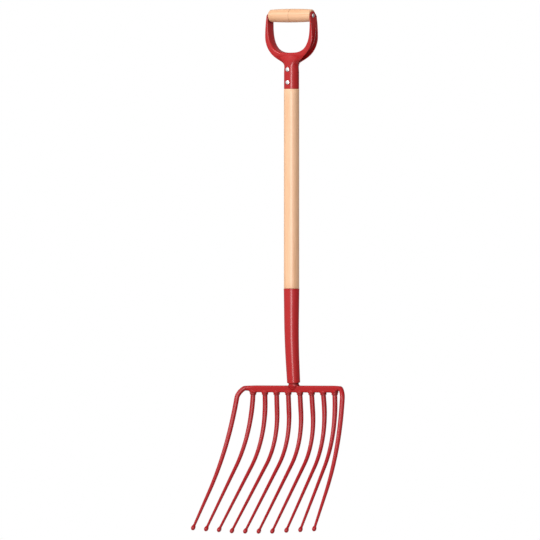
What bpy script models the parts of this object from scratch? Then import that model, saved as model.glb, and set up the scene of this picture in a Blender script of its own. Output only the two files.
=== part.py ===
# Potato fork: ten round tines on a forged crossbar, a bent socket tube, a wooden shaft and a pressed
# steel yoke with a wooden grip. It stands upright with its front towards -Y and +Z up, in metres.
# The origin is under the middle of the grip, where a hook carries the fork.

import math

import bmesh
import bpy
import numpy as np
from mathutils import Matrix, Vector

GAP = 0.0003                      # left between two pieces that touch

HEAD_RIM = 0.35                   # straight share of the height of each rivet's or screw's head

# Grip and the long rivet that holds it
GRIP_LENGTH = 0.1152
GRIP_DIAMETER = 0.0322
GRIP_END_DIAMETER = 0.0288
GRIP_CORNER_RADIUS = 0.002
GRIP_RIVET_DIAMETER = 0.006
GRIP_RIVET_HEAD_DIAMETER = 0.0098
GRIP_RIVET_HEAD_HEIGHT = 0.0019

# Yoke: a pressed steel D whose arms are channels that open outwards
SHEET = 0.002
CHANNEL_DEPTH = 0.0285            # front to back
BEND_RADIUS = 0.003               # outside of the bend between web and flange
EAR_RADIUS = 0.0105
EAR_TOP_ANGLE = math.radians(80)  # where the ear's round outline ends in a small flat
EAR_TO_FLANGE = 0.005             # from the grip's axis down to the top of the flanges
HAND_ROOM = 0.0872                # from the grip's axis down to the bottom of the D
INNER_ROUNDNESS = 3.25            # exponent of the D's inner outline
FLANGE_WIDTH = 0.0073             # outer half width of the D less its inner half width
FLANGE_TOP_WIDTH = 0.0034
WIDEST_DROP = 0.0494              # from the grip's axis down to the widest place of the D
OUTER_DEPTH = 0.0603              # from there down to where the outer curve would close
OUTER_ROUNDNESS = 1.975
SHOULDER_BLEND = 0.0151           # softens the shoulder between the D and its socket
YOKE_SOCKET_DROP = 0.115          # from the grip's axis down to where the socket is round
YOKE_SOCKET_LENGTH = 0.0572
YOKE_SOCKET_DIAMETER = 0.0354
SEAM = 0.0009                     # slot down each side of the socket
ARCH_HEIGHT = 0.0153              # how fast the side openings close above the seams
ARCH_ROUNDNESS = 4.3              # exponent of that arch

# Rivets through the yoke's socket
YOKE_RIVET_DIAMETER = 0.005
YOKE_RIVET_HEAD_DIAMETER = 0.0098
YOKE_RIVET_HEAD_HEIGHT = 0.0018
YOKE_RIVET_FIRST = 0.0149         # from the socket's lower end up to the lower rivet
YOKE_RIVET_SPACING = 0.0304

# Shaft
SHAFT_DIAMETER = 0.036
SHAFT_LENGTH = 0.4697             # between its two shoulders
TENON_CHAMFER = 0.002

# Socket tube of the head
SOCKET_WALL = 0.002
SOCKET_MOUTH_DIAMETER = 0.0368
SOCKET_END_DIAMETER = 0.0309
SOCKET_LIP = 0.0004               # the mouth is turned out this far
SOCKET_LIP_HEIGHT = 0.002
SOCKET_END_ROUND = 0.0012         # height of the soft edge at the lower end
SOCKET_STRAIGHT_LENGTH = 0.07
SOCKET_BEND_RADIUS = 1.15
SOCKET_TAIL_LENGTH = 0.0453       # straight again, behind the bend
HEAD_LEAN = math.radians(5.3)     # of the tube's end and the crossbar, backwards
SCREW_DROP = 0.028                # from the mouth down to the screw at the back
SCREW_DIAMETER = 0.004
SCREW_LENGTH = 0.024
SCREW_HEAD_DIAMETER = 0.0084
SCREW_HEAD_HEIGHT = 0.002

# Crossbar with its tang, hub and bosses
TANG_LENGTH = 0.028
TANG_CHAMFER = 0.0015
NECK_HEIGHT = 0.0069              # between the tube's end and the top of the bar
NECK_DIAMETER = 0.0244
NECK_STRAIGHT_HEIGHT = 0.0042     # of the neck's height, above the flare
HUB_SINK = 0.0005                 # the flare ends this far below the bar's top
HUB_WIDTH = 0.031                 # along the bar, where the neck flares into its top
HUB_DEPTH = 0.0237                # front to back there
HUB_SHOULDER_DEPTH = 0.0215       # where the bar's top corner ends
HUB_FOOT_WIDTH = 0.012            # where the hub runs out near the bottom of the bar
HUB_FOOT_DEPTH = 0.009
BAR_HEIGHT = 0.0158
BAR_DEPTH = 0.0125
BAR_CORNER_RADIUS = 0.0028
BAR_STRAIGHT_LENGTH = 0.105       # from the middle to where each end starts to bend and to thin
BAR_END_RADIUS = 0.066            # of the forward bend at each end
BAR_END_TURN = math.radians(24)
STUB_DIAMETER = 0.0118
STUB_HEIGHT_LENGTH = 0.0032       # from the end of the bar to where its lower side starts to drop
FILLET_LENGTH = 0.0085            # of the hollow curve from there down to the full height
FILLET_SHARES = (0.0, 0.5, 0.8, 0.95, 1.0)
BOSS_LENGTH = 0.0059
BOSS_DIAMETER = 0.0137
BOSS_ROOT_DIAMETER = 0.0194
BOSS_REACH = 0.0063               # into the bar
BOSS_FLARE_SHARES = (0.45, 0.8, 1.0)

# Tines
TINE_DIAMETER = 0.0117
TINE_NECK_DIAMETER = 0.0058       # just above the ball
TINE_FULL_LENGTH = 0.041          # full diameter for this long past the boss
BALL_DIAMETER = 0.0102
BALL_NOSE = 0.0062                # from the ball's widest place to its end
BALL_TAIL = 0.0090                # from there back to where the ball would close
BALL_TAIL_SHARES = (0.8, 0.6, 0.3)
BALL_NOSE_SHARES = (0.0, 0.5, 0.85, 0.98)
SPIGOT_DIAMETER = 0.007
SPIGOT_LENGTH = 0.011
SPIGOT_CHAMFER = 0.0006
DRILL_START = 0.002               # cutters start this far outside the seat
INNER_TINES = 8
TINE_PITCH = 0.03235              # at the middle of the bar
FAN_HEIGHT = 2.08                 # the tines spread from a point this far above the bar
OUTER_FORWARD = 0.0147            # of the outer tines' plane, in front of the bar's middle
CORNER_END_DROP = 0.0185          # from the bar's middle to where an outer tine is round its corner
CORNER_LEAD = 0.001               # straight, past the stub
CORNER_REACH = 0.0042             # handle of that corner's curve along the bar
CORNER_DROP = 0.0105              # and along the tine

# How each kind of tine is bent, from the middle pair outwards: its lean at the bar (forward positive),
# how far down it stays straight, bend radius, final rake, how far its tip is below the bar's middle,
# and how fast it thins.
TINE_BENDS = [
    {"lean": -4.75, "lead": 0.0548, "radius": 0.161, "rake": 43.2, "reach": 0.3372, "thinning": 0.75},
    {"lean": -4.75, "lead": 0.0548, "radius": 0.161, "rake": 43.2, "reach": 0.3368, "thinning": 0.75},
    {"lean": -4.85, "lead": 0.031, "radius": 0.202, "rake": 41.95, "reach": 0.3345, "thinning": 0.75},
    {"lean": -2.0, "lead": 0.0024, "radius": 0.272, "rake": 38.95, "reach": 0.3330, "thinning": 0.8},
    {"lean": 12.9, "lead": 0.0326, "radius": 0.583, "rake": 35.6, "reach": 0.3310, "thinning": 1.4},
]

# Facets
ROUND_STEPS = 24
SMALL_STEPS = 16
ROD_SIDES = 12
ROD_STEP = 0.07                   # longest straight stretch of a bent rod
ROD_TURN = math.radians(12)       # largest turn between two of its sections
OUTLINE_POINTS = 401              # of the yoke's outlines, before they are divided evenly
EAR_STATIONS = 5
ARM_STATIONS = 14
FAN_STATIONS = 5
SOCKET_STATIONS = 2
SOCKET_BEND_STATIONS = 5
BAR_END_STATIONS = 4
BAR_CORNER_STEPS = 3
GRIP_CORNER_STEPS = 3
GRIP_SIDE_STEPS = 5
DOME_STEPS = 3
LINE_POINTS = 12                  # of a route, on each straight stretch
BEND_POINTS = 41                  # and on each bend
PLATE_COLUMNS = 5
BEND_COLUMNS = 2

# Heights of the main places, from the origin
GRIP_AXIS_Z = GRIP_DIAMETER / 2
YOKE_SOCKET_TOP_Z = GRIP_AXIS_Z - YOKE_SOCKET_DROP
YOKE_SOCKET_END_Z = YOKE_SOCKET_TOP_Z - YOKE_SOCKET_LENGTH
SHAFT_TOP_Z = YOKE_SOCKET_END_Z - GAP
SHAFT_BOTTOM_Z = SHAFT_TOP_Z - SHAFT_LENGTH
SOCKET_MOUTH_Z = SHAFT_BOTTOM_Z - GAP
EAR_INNER_X = GRIP_LENGTH / 2 + GAP
EAR_OUTER_X = EAR_INNER_X + SHEET
YOKE_BORE_RADIUS = YOKE_SOCKET_DIAMETER / 2 - SHEET


def clear_scene():
    for item in list(bpy.data.objects):
        bpy.data.objects.remove(item, do_unlink=True)


def make_material(name, color, roughness, metallic):
    material = bpy.data.materials.new(name)
    material.use_nodes = True
    shader = material.node_tree.nodes["Principled BSDF"]
    shader.inputs["Base Color"].default_value = (*color, 1.0)
    shader.inputs["Roughness"].default_value = roughness
    shader.inputs["Metallic"].default_value = metallic
    material.diffuse_color = (*color, 1.0)
    return material


def add_object(name, work, material):
    """Turns a finished bmesh into a named, smooth object with its material."""
    bmesh.ops.recalc_face_normals(work, faces=work.faces)
    mesh = bpy.data.meshes.new(name)
    work.to_mesh(mesh)
    work.free()
    mesh.shade_smooth()
    mesh.set_sharp_from_angle(angle=math.radians(35))
    mesh.materials.append(material)
    item = bpy.data.objects.new(name, mesh)
    bpy.context.scene.collection.objects.link(item)
    return item


def as_tool(item):
    """Marks a cutter or a shape that is only joined to another."""
    item.hide_render = True
    item.display_type = "WIRE"
    return item


def combine(target, tool, operation):
    change = target.modifiers.new(tool.name, "BOOLEAN")
    change.operation = operation
    change.solver = "EXACT"
    change.object = as_tool(tool)


def turned(name, profile, matrix, material, steps=ROUND_STEPS):
    """Spins an outline of (radius, height) points round +Z, then moves it into place."""
    work = bmesh.new()
    points = [work.verts.new((radius, 0.0, height)) for radius, height in profile]
    edges = [work.edges.new(pair) for pair in zip(points, points[1:])]
    if profile[0][0] > 0 and profile[-1][0] > 0:
        edges.append(work.edges.new((points[-1], points[0])))
    bmesh.ops.spin(work, geom=points + edges, cent=(0, 0, 0), axis=(0, 0, 1), dvec=(0, 0, 0),
                   angle=math.tau, steps=steps, use_merge=True, use_duplicate=False)
    bmesh.ops.remove_doubles(work, verts=work.verts, dist=1e-6)
    bmesh.ops.transform(work, matrix=matrix, verts=work.verts)
    return add_object(name, work, material)


def lofted(name, sections, material, closed=False):
    """Skins through sections of equal point counts. A closed loft joins its last section to its first."""
    work = bmesh.new()
    rings = [[work.verts.new(point) for point in section] for section in sections]
    pairs = list(zip(rings, rings[1:]))
    if closed:
        pairs.append((rings[-1], rings[0]))
    for upper, lower in pairs:
        for i in range(len(upper)):
            j = (i + 1) % len(upper)
            work.faces.new((upper[i], upper[j], lower[j], lower[i]))
    if not closed:
        work.faces.new(rings[0])
        work.faces.new(rings[-1])
    return add_object(name, work, material)


def lying(axis, place):
    """Matrix that turns +Z to the given axis and moves to a place."""
    turn = Vector((0, 0, 1)).rotation_difference(Vector(axis).normalized())
    return Matrix.Translation(place) @ turn.to_matrix().to_4x4()


def dome(radius, seat, height):
    """Outline of a domed rivet head, from its rim on the seat to its crown on the axis."""
    rim = HEAD_RIM * height
    outline = [(radius, seat), (radius, seat + rim)]
    for i in range(1, DOME_STEPS + 1):
        angle = i / DOME_STEPS * math.pi / 2
        outline.append((radius * math.cos(angle), seat + rim + (height - rim) * math.sin(angle)))
    outline[-1] = (0.0, seat + height)
    return outline


def through_rivet(name, shank, head, head_height, half_grip, matrix, material):
    """A rivet with a domed head at each end, centred on its matrix."""
    half = [(shank / 2, half_grip)] + dome(head / 2, half_grip, head_height)
    half.reverse()
    profile = half + [(radius, -height) for radius, height in reversed(half)]
    return turned(name, profile, matrix, material, SMALL_STEPS)


def cross_pin(name, radius, reach, axis, height, material):
    """A pin through the fork's axis, which reaches equally far to both sides."""
    profile = [(0.0, -reach), (radius, -reach), (radius, reach), (0.0, reach)]
    return turned(name, profile, lying(axis, (0, 0, height)), material, SMALL_STEPS)


class Path:
    """A route through close points, with a frame at each that turns as little as it can."""

    def __init__(self, points, side):
        self.points = np.array(points, dtype=float)
        steps = np.diff(self.points, axis=0)
        lengths = np.linalg.norm(steps, axis=1)
        self.marks = np.concatenate([[0.0], np.cumsum(lengths)])
        self.length = self.marks[-1]
        tangents = np.gradient(self.points, self.marks, axis=0)
        self.tangents = tangents / np.linalg.norm(tangents, axis=1)[:, None]
        side = np.array(side, dtype=float)
        self.sides = []
        for tangent in self.tangents:
            side = side - tangent * side.dot(tangent)
            side = side / np.linalg.norm(side)
            self.sides.append(side)
        self.sides = np.array(self.sides)

    def sample(self, table, distance):
        return Vector([np.interp(distance, self.marks, table[:, axis]) for axis in range(3)])

    def frame(self, distance):
        """Place, first side, second side and heading at a distance along the route."""
        heading = self.sample(self.tangents, distance).normalized()
        side = self.sample(self.sides, distance)
        side = (side - heading * side.dot(heading)).normalized()
        return self.sample(self.points, distance), side, heading.cross(side), heading

    def stations(self, start, end):
        """Distances from start to end, closer together where the route bends."""
        turns = np.arccos(np.clip(np.sum(self.tangents[1:] * self.tangents[:-1], axis=1), -1.0, 1.0))
        measure = self.marks / ROD_STEP + np.concatenate([[0.0], np.cumsum(turns)]) / ROD_TURN
        first, last = np.interp((start, end), self.marks, measure)
        count = math.ceil(last - first) + 1
        return np.interp(np.linspace(first, last, count), measure, self.marks)

    def section(self, distance, outline):
        place, side, other, _ = self.frame(distance)
        return [place + side * u + other * v for u, v in outline]


def circle(radius, sides):
    return [(radius * math.cos(math.tau * i / sides), radius * math.sin(math.tau * i / sides))
            for i in range(sides)]


def rounded_rectangle(width, height, corner):
    corner = min(corner, width / 2, height / 2)
    outline = []
    for quarter in range(4):
        angle = quarter * math.pi / 2
        sign_u = 1 if quarter in (0, 3) else -1
        sign_v = 1 if quarter in (0, 1) else -1
        for i in range(BAR_CORNER_STEPS + 1):
            turn = angle + i / BAR_CORNER_STEPS * math.pi / 2
            outline.append((sign_u * (width / 2 - corner) + corner * math.cos(turn),
                            sign_v * (height / 2 - corner) + corner * math.sin(turn)))
    return outline


def evenly(points, count):
    """Points at equal distances along a line of close points."""
    points = np.array(points, dtype=float)
    marks = np.concatenate([[0.0], np.cumsum(np.linalg.norm(np.diff(points, axis=0), axis=1))])
    wanted = np.linspace(0.0, marks[-1], count)
    return np.stack([np.interp(wanted, marks, points[:, axis]) for axis in range(points.shape[1])], axis=1)


def smooth_step(value):
    value = min(1.0, max(0.0, value))
    return value * value * (3 - 2 * value)


def soft_larger(first, second, blend):
    """The larger of two values, rounded off where they are closer than blend."""
    overlap = max(blend - abs(first - second), 0.0)
    return max(first, second) + overlap * overlap / (4 * blend)


# The yoke's outlines are seen from the front, as half widths at drops below the grip's axis.

def inner_outline():
    """The opening's edge, from the top of the flanges down and in to the middle of the D."""
    points = []
    for angle in np.linspace(0.0, math.pi / 2, OUTLINE_POINTS)[:-1]:
        half_width = EAR_INNER_X * math.cos(angle) ** (2 / INNER_ROUNDNESS)
        drop = HAND_ROOM * math.sin(angle) ** (2 / INNER_ROUNDNESS)
        if drop >= EAR_TO_FLANGE:
            points.append((half_width, drop))
    return points + [(0.0, HAND_ROOM)]


def outer_half_width(drop):
    widest = EAR_INNER_X + FLANGE_WIDTH
    top = EAR_INNER_X + FLANGE_TOP_WIDTH
    if drop < WIDEST_DROP:
        share = (WIDEST_DROP - drop) / (WIDEST_DROP - EAR_TO_FLANGE)
        return widest - (widest - top) * share * share
    share = min(1.0, (drop - WIDEST_DROP) / OUTER_DEPTH)
    curve = widest * (1 - share ** OUTER_ROUNDNESS) ** (1 / OUTER_ROUNDNESS)
    return soft_larger(curve, YOKE_SOCKET_DIAMETER / 2, SHOULDER_BLEND)


def outer_outline():
    drops = np.linspace(EAR_TO_FLANGE, YOKE_SOCKET_DROP, OUTLINE_POINTS)
    return [(outer_half_width(drop), drop) for drop in drops]


def arch_half_depth(drop):
    """Half the front-to-back width of the side opening, which closes in an arch at the socket."""
    start = YOKE_SOCKET_DROP - ARCH_HEIGHT
    share = min(1.0, max(0.0, (drop - start) / ARCH_HEIGHT))
    return SEAM / 2 + (CHANNEL_DEPTH - SEAM) / 2 * (1 - share ** ARCH_ROUNDNESS)


def yoke_point(half_width, depth, drop):
    return Vector((half_width, -depth, GRIP_AXIS_Z - drop))


def ear_rows():
    """The ear is the web's flat round end, above the flanges."""
    flat_share = 1 - 2 * BEND_RADIUS / CHANNEL_DEPTH
    shares = [0.0] + list(np.linspace(flat_share, 1.0, 1 + BEND_COLUMNS + PLATE_COLUMNS))
    rows = []
    for angle in np.linspace(EAR_TOP_ANGLE, 0.0, EAR_STATIONS):
        drop = -EAR_RADIUS * math.sin(angle)
        reach = EAR_RADIUS * math.cos(angle)
        rows.append([yoke_point(EAR_INNER_X, reach * share, drop) for share in shares])
    return rows


def arm_row(place, tangent, edge):
    """One section of the channel: half its web, the bend and the flange out to its free edge."""
    half_depth = CHANNEL_DEPTH / 2
    flat = half_depth - BEND_RADIUS
    normal = np.array((tangent[1], -tangent[0]))
    row = [yoke_point(place[0], 0.0, place[1]), yoke_point(place[0], flat, place[1])]
    for j in range(1, BEND_COLUMNS + 1):
        turn = math.pi / 2 * j / BEND_COLUMNS
        spot = place + normal * BEND_RADIUS * (1 - math.cos(turn))
        row.append(yoke_point(spot[0], flat + BEND_RADIUS * math.sin(turn), spot[1]))
    start = place + normal * BEND_RADIUS
    edge_depth = arch_half_depth(edge[1])
    for j in range(1, PLATE_COLUMNS + 1):
        across = j / PLATE_COLUMNS
        spot = start + (edge - start) * across
        depth = edge_depth + (half_depth - edge_depth) * math.cos(across * math.pi / 2)
        row.append(yoke_point(spot[0], depth, spot[1]))
    return row


def fan_row(centre_drop, edge, roundness):
    """One section of the plate below the D, which grows from flat to half round."""
    half_depth = CHANNEL_DEPTH / 2
    centre_depth = half_depth + (YOKE_SOCKET_DIAMETER / 2 - half_depth) * roundness
    edge_depth = arch_half_depth(edge[1])
    row = []
    for j in range(PLATE_COLUMNS + 1):
        across = j / PLATE_COLUMNS
        bow = math.sin(across * math.pi / 2)
        reach = (1 - roundness) * across + roundness * bow
        depth = edge_depth + (centre_depth - edge_depth) * math.cos(across * math.pi / 2)
        row.append(yoke_point(edge[0] * reach, depth, centre_drop + (edge[1] - centre_drop) * across))
    return row


def yoke_quarter():
    """Outer skin of the right front quarter of the yoke, as rows of points from web to free edge."""
    inner = evenly(inner_outline(), ARM_STATIONS)
    tangents = np.gradient(inner, axis=0)
    tangents[0] = (0.0, 1.0)
    tangents[-1] = (-1.0, 0.0)
    tangents /= np.linalg.norm(tangents, axis=1)[:, None]
    arm_length = np.linalg.norm(np.diff(inner, axis=0), axis=1).sum()
    arm_share = arm_length / (arm_length + YOKE_SOCKET_DROP - HAND_ROOM)
    outer = evenly(outer_outline(), OUTLINE_POINTS)

    def outer_edge(share):
        return outer[int(round(share * (OUTLINE_POINTS - 1)))]

    rows = ear_rows()
    for i in range(ARM_STATIONS):
        rows.append(arm_row(inner[i], tangents[i], outer_edge(arm_share * i / (ARM_STATIONS - 1))))
    fan = []
    fan_top = HAND_ROOM + BEND_RADIUS
    for i in range(1, FAN_STATIONS + 1):
        share = i / FAN_STATIONS
        centre_drop = fan_top + (YOKE_SOCKET_DROP - fan_top) * share
        fan.append(fan_row(centre_drop, outer_edge(arm_share + (1 - arm_share) * share), smooth_step(share)))
    for i in range(1, SOCKET_STATIONS + 1):
        drop = YOKE_SOCKET_DROP + YOKE_SOCKET_LENGTH * i / SOCKET_STATIONS
        fan.append(fan_row(drop, np.array((YOKE_SOCKET_DIAMETER / 2, drop)), 1.0))
    return rows, fan


def make_yoke(paint):
    """The quarter skin is mirrored to the whole, thickened to the sheet and drilled."""
    rows, fan = yoke_quarter()
    work = bmesh.new()
    upper = [[work.verts.new(point) for point in row] for row in rows]
    lower = [[work.verts.new(point) for point in row] for row in fan]
    strips = list(zip(upper, upper[1:]))
    strips.append((upper[-1][1 + BEND_COLUMNS:], lower[0]))
    strips += list(zip(lower, lower[1:]))
    for top, low in strips:
        for i in range(len(top) - 1):
            work.faces.new((top[i], low[i], low[i + 1], top[i + 1]))
    mesh = bpy.data.meshes.new("yoke")
    work.to_mesh(mesh)
    work.free()
    mesh.shade_smooth()
    mesh.materials.append(paint)
    yoke = bpy.data.objects.new("yoke", mesh)
    bpy.context.scene.collection.objects.link(yoke)
    mirror = yoke.modifiers.new("halves", "MIRROR")
    mirror.use_axis = (True, True, False)
    mirror.use_mirror_merge = True
    mirror.merge_threshold = 0.00001
    wall = yoke.modifiers.new("sheet", "SOLIDIFY")
    wall.thickness = SHEET
    wall.offset = -1.0
    wall.use_even_offset = True
    wall.use_quality_normals = True
    combine(yoke, cross_pin("yoke_ear_holes", GRIP_RIVET_DIAMETER / 2 + GAP, EAR_OUTER_X + SHEET,
                            (1, 0, 0), GRIP_AXIS_Z, paint), "DIFFERENCE")
    for name, height in yoke_rivet_heights().items():
        combine(yoke, cross_pin(name + "_hole", YOKE_RIVET_DIAMETER / 2 + GAP, YOKE_SOCKET_DIAMETER,
                                (0, 1, 0), height, paint), "DIFFERENCE")


def yoke_rivet_heights():
    lower = YOKE_SOCKET_END_Z + YOKE_RIVET_FIRST
    return {"yoke_rivet_upper": lower + YOKE_RIVET_SPACING, "yoke_rivet_lower": lower}


def make_yoke_rivets(steel):
    for name, height in yoke_rivet_heights().items():
        through_rivet(name, YOKE_RIVET_DIAMETER, YOKE_RIVET_HEAD_DIAMETER, YOKE_RIVET_HEAD_HEIGHT,
                      YOKE_SOCKET_DIAMETER / 2 + GAP, lying((0, 1, 0), (0, 0, height)), steel)


def make_grip(wood, steel):
    bore = GRIP_RIVET_DIAMETER / 2 + GAP
    half = GRIP_LENGTH / 2
    middle = GRIP_DIAMETER / 2
    end = GRIP_END_DIAMETER / 2
    side = [(bore, half)]
    for angle in np.linspace(math.pi / 2, 0.0, GRIP_CORNER_STEPS + 1):
        side.append((end - GRIP_CORNER_RADIUS * (1 - math.cos(angle)),
                     half - GRIP_CORNER_RADIUS * (1 - math.sin(angle))))
    for share in np.linspace(1.0, 0.0, GRIP_SIDE_STEPS + 1)[1:]:
        side.append((middle - (middle - end) * share * share, (half - GRIP_CORNER_RADIUS) * share))
    profile = side + [(radius, -place) for radius, place in reversed(side[:-1])]
    turned("grip", profile, lying((1, 0, 0), (0, 0, GRIP_AXIS_Z)), wood)
    through_rivet("grip_rivet", GRIP_RIVET_DIAMETER, GRIP_RIVET_HEAD_DIAMETER, GRIP_RIVET_HEAD_HEIGHT,
                  EAR_OUTER_X + GAP, lying((1, 0, 0), (0, 0, GRIP_AXIS_Z)), steel)


def socket_outer_radius(share):
    """Outer radius of the head's tube at a share of its length."""
    return (SOCKET_MOUTH_DIAMETER + (SOCKET_END_DIAMETER - SOCKET_MOUTH_DIAMETER) * share) / 2


def socket_path():
    """The tube's axis, straight down from its mouth, then bent backwards."""
    points = [(0.0, 0.0, SOCKET_MOUTH_Z - drop)
              for drop in np.linspace(0.0, SOCKET_STRAIGHT_LENGTH, LINE_POINTS)]
    knee_z = SOCKET_MOUTH_Z - SOCKET_STRAIGHT_LENGTH
    for turn in np.linspace(0.0, HEAD_LEAN, BEND_POINTS)[1:]:
        points.append((0.0, SOCKET_BEND_RADIUS * (1 - math.cos(turn)),
                       knee_z - SOCKET_BEND_RADIUS * math.sin(turn)))
    last = points[-1]
    for along in np.linspace(0.0, SOCKET_TAIL_LENGTH, LINE_POINTS)[1:]:
        points.append((0.0, last[1] + along * math.sin(HEAD_LEAN), last[2] - along * math.cos(HEAD_LEAN)))
    return Path(points, (1, 0, 0))


def make_shaft(wood):
    path = socket_path()
    top_tenon = YOKE_BORE_RADIUS - GAP
    top_length = YOKE_SOCKET_LENGTH - GAP
    shoulder = SHAFT_DIAMETER / 2
    low_length = SOCKET_STRAIGHT_LENGTH - GAP
    low_root = socket_outer_radius(0.0) - SOCKET_WALL - GAP
    low_tip = socket_outer_radius(SOCKET_STRAIGHT_LENGTH / path.length) - SOCKET_WALL - GAP
    profile = [
        (0.0, SHAFT_TOP_Z + top_length),
        (top_tenon - TENON_CHAMFER, SHAFT_TOP_Z + top_length),
        (top_tenon, SHAFT_TOP_Z + top_length - TENON_CHAMFER),
        (top_tenon, SHAFT_TOP_Z),
        (shoulder, SHAFT_TOP_Z),
        (shoulder, SHAFT_BOTTOM_Z),
        (low_root, SHAFT_BOTTOM_Z),
        (low_tip, SHAFT_BOTTOM_Z - low_length + TENON_CHAMFER),
        (low_tip - TENON_CHAMFER, SHAFT_BOTTOM_Z - low_length),
        (0.0, SHAFT_BOTTOM_Z - low_length),
    ]
    shaft = turned("shaft", profile, Matrix.Identity(4), wood)
    for name, height in yoke_rivet_heights().items():
        combine(shaft, cross_pin(name + "_bore", YOKE_RIVET_DIAMETER / 2 + GAP, shoulder, (0, 1, 0), height,
                                 wood), "DIFFERENCE")
    combine(shaft, screw_clearance("socket_screw_bore", wood), "DIFFERENCE")


def screw_seat():
    """Height of the screw and how far behind the axis its head rests."""
    path = socket_path()
    return SOCKET_MOUTH_Z - SCREW_DROP, socket_outer_radius(SCREW_DROP / path.length) + GAP


def screw_clearance(name, material):
    """Cutter for the screw's hole, open behind the socket and a little deeper than the screw."""
    height, seat = screw_seat()
    hole = SCREW_DIAMETER / 2 + GAP
    deep = seat - SCREW_LENGTH - GAP
    behind = seat + SCREW_HEAD_HEIGHT
    profile = [(0.0, deep), (hole, deep), (hole, behind), (0.0, behind)]
    return turned(name, profile, lying((0, 1, 0), (0, 0, height)), material, SMALL_STEPS)


def make_socket(paint, steel):
    path = socket_path()
    bend_end = path.length - SOCKET_TAIL_LENGTH
    stations = [0.0, SOCKET_LIP_HEIGHT, SOCKET_STRAIGHT_LENGTH]
    stations += list(np.linspace(SOCKET_STRAIGHT_LENGTH, bend_end, SOCKET_BEND_STATIONS)[1:])
    stations += [path.length - SOCKET_END_ROUND, path.length]
    outer = []
    inner = []
    for distance in stations:
        radius = socket_outer_radius(distance / path.length)
        if distance == stations[0]:
            rim = radius + SOCKET_LIP
        elif distance == stations[-1]:
            rim = radius - SOCKET_END_ROUND / 2
        else:
            rim = radius
        outer.append(path.section(distance, circle(rim, ROUND_STEPS)))
        inner.append(path.section(distance, circle(radius - SOCKET_WALL, ROUND_STEPS)))
    socket = lofted("socket", outer + inner[::-1], paint, closed=True)
    combine(socket, screw_clearance("socket_screw_hole", paint), "DIFFERENCE")
    height, seat = screw_seat()
    tip = seat - SCREW_LENGTH
    shank = SCREW_DIAMETER / 2
    profile = [(0.0, tip), (shank, tip + SCREW_DIAMETER), (shank, seat)]
    profile += dome(SCREW_HEAD_DIAMETER / 2, seat, SCREW_HEAD_HEIGHT)
    turned("socket_screw", profile, lying((0, 1, 0), (0, 0, height)), steel, SMALL_STEPS)


def head_frame():
    """Middle of the bar, its upward axis and its backward axis."""
    path = socket_path()
    end, _, _, heading = path.frame(path.length)
    up = -heading
    back = Vector((0, up.z, -up.y))
    return end - up * (NECK_HEIGHT + BAR_HEIGHT / 2), up, back


def bar_path():
    """The bar's middle line from left to right, straight and then bent forward at both ends."""
    middle, _, back = head_frame()
    half = [(x, 0.0) for x in np.linspace(0.0, BAR_STRAIGHT_LENGTH, LINE_POINTS)]
    for turn in np.linspace(0.0, BAR_END_TURN, BEND_POINTS)[1:]:
        half.append((BAR_STRAIGHT_LENGTH + BAR_END_RADIUS * math.sin(turn),
                     -BAR_END_RADIUS * (1 - math.cos(turn))))
    line = [(-x, y) for x, y in reversed(half[1:])] + half
    return Path([middle + Vector((x, 0, 0)) + back * y for x, y in line], back)


def bar_end(number):
    """Where an outer tine is welded to the bar's round stub, and the stub's outward heading."""
    path = bar_path()
    _, up, _ = head_frame()
    at_left = number == 1
    place, _, _, heading = path.frame(0.0 if at_left else path.length)
    return place + up * (BAR_HEIGHT - STUB_DIAMETER) / 2, -heading if at_left else heading


def is_outer(number):
    return number in (1, INNER_TINES + 2)


def tine_places():
    """For each tine from left to right: its number, its place in pitches, and its bend."""
    count = INNER_TINES + 2
    places = []
    for i in range(count):
        from_middle = len(TINE_BENDS) - 1 - min(i, count - 1 - i)
        places.append((i + 1, i - (count - 1) / 2, TINE_BENDS[from_middle]))
    return places


def tine_line(pitches, bend, start):
    """A tine's middle line below a start point: straight, bent, and straight to its tip."""
    lean = math.radians(bend["lean"])
    rake = math.radians(bend["rake"])
    lead = bend["lead"]
    radius = bend["radius"]
    profile = [(drop, drop * math.tan(lean)) for drop in np.linspace(0.0, lead, LINE_POINTS)]
    for angle in np.linspace(lean, rake, BEND_POINTS)[1:]:
        profile.append((lead + radius * (math.sin(angle) - math.sin(lean)),
                        lead * math.tan(lean) + radius * (math.cos(lean) - math.cos(angle))))
    knee_drop, knee_forward = profile[-1]
    for drop in np.linspace(knee_drop, bend["reach"], LINE_POINTS)[1:]:
        profile.append((drop, knee_forward + (drop - knee_drop) * math.tan(rake)))
    spread = pitches * TINE_PITCH
    return [Vector((spread * (1 + drop / FAN_HEIGHT), start.y - forward, start.z - drop))
            for drop, forward in profile]


def corner_curve(start, heading, end, down):
    """A smooth curve from one heading to another."""
    first = start + heading * CORNER_REACH
    second = end - down * CORNER_DROP
    curve = []
    for t in np.linspace(0.0, 1.0, BEND_POINTS):
        s = 1 - t
        curve.append(start * s ** 3 + first * 3 * t * s ** 2 + second * 3 * t * t * s + end * t ** 3)
    return curve


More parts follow.
